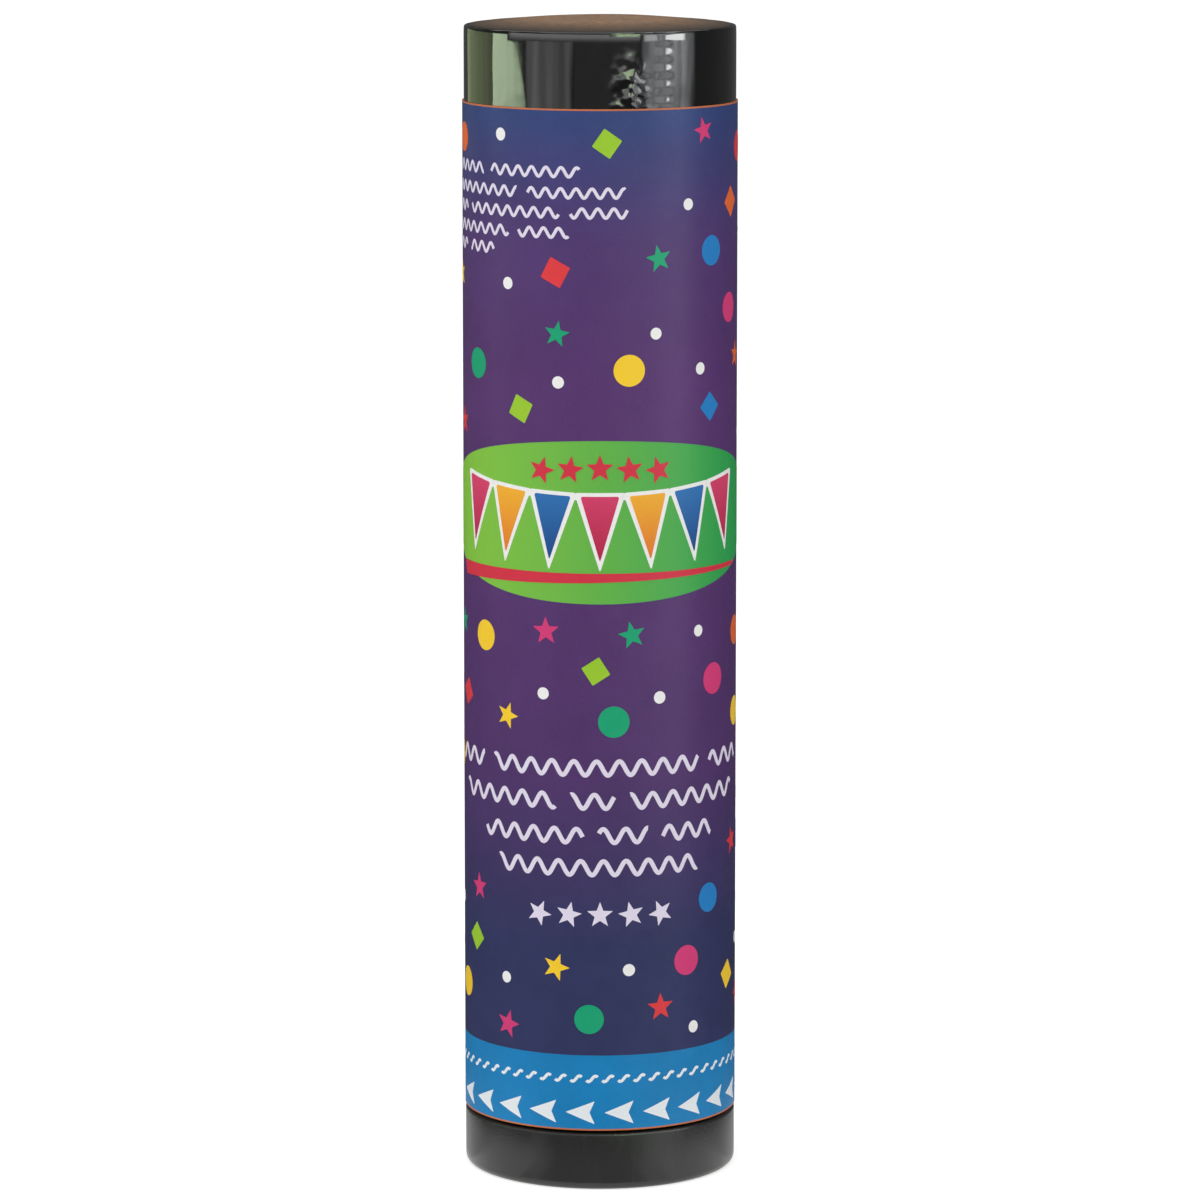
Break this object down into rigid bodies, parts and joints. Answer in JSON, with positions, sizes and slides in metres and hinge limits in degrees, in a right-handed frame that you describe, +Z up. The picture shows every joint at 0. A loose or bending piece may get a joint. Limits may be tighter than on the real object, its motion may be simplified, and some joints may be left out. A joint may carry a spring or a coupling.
{
  "type": "confetti popper",
  "caption": "Card-tube twist popper: turning the black base lets a sprung piston throw paper streamers and confetti out through the paper-covered mouth.",
  "frame": {"origin": "centre of the base's standing face", "axes": "+Z up along the barrel to the mouth, -Y to the front of the label"},
  "size_m": [0.0254, 0.0255, 0.1076],
  "materials": {
    "chipboard": "raw spiral-wound board",
    "wrap_paper": "gloss laminated black",
    "label_paper": "printed, satin varnish",
    "cover_paper": "brown kraft",
    "base_plastic": "satin moulded black",
    "bush_plastic": "moulded black",
    "post_plastic": "moulded natural",
    "spring_steel": "drawn spring wire",
    "piston_plastic": "moulded natural",
    "paper_white": "white tissue and print",
    "paper_lime": "lime tissue and print",
    "paper_green": "green tissue and print",
    "paper_yellow": "yellow tissue and print",
    "paper_red": "red tissue and print",
    "paper_pink": "pink tissue and print",
    "paper_blue": "blue tissue and print",
    "paper_orange": "orange tissue and print"
  },
  "bodies": {
    "barrel": {"barrel_tube": "chipboard", "barrel_wrap": "wrap_paper", "label": "label_paper", "tube_bush": "bush_plastic", "launch_spring": "spring_steel"},
    "base": {"twist_base": "base_plastic", "latch_post": "post_plastic"},
    "piston": {"piston": "piston_plastic"},
    "load": {"wad_disc": "chipboard", "streamer_red": "paper_red", "streamer_yellow": "paper_yellow", "streamer_blue": "paper_blue", "confetti_white": "paper_white", "confetti_lime": "paper_lime", "confetti_green": "paper_green", "confetti_yellow": "paper_yellow", "confetti_red": "paper_red", "confetti_pink": "paper_pink", "confetti_blue": "paper_blue", "confetti_orange": "paper_orange", "mouth_cover": "cover_paper"}
  },
  "joints": [
    {"name": "base_twist", "type": "hinge", "parent": "barrel", "child": "base", "pos_m": [0, 0, 0], "axis": [0, 0, 1], "range_deg": [0, 90]},
    {"name": "piston_launch", "type": "slide", "parent": "barrel", "child": "piston", "axis": [0, 0, 1], "range_m": [0, 0.046], "deforming": ["launch_spring"]},
    {"name": "load_eject", "type": "slide", "parent": "piston", "child": "load", "axis": [0, 0, 1], "range_m": [0, 0.036]}
  ]
}
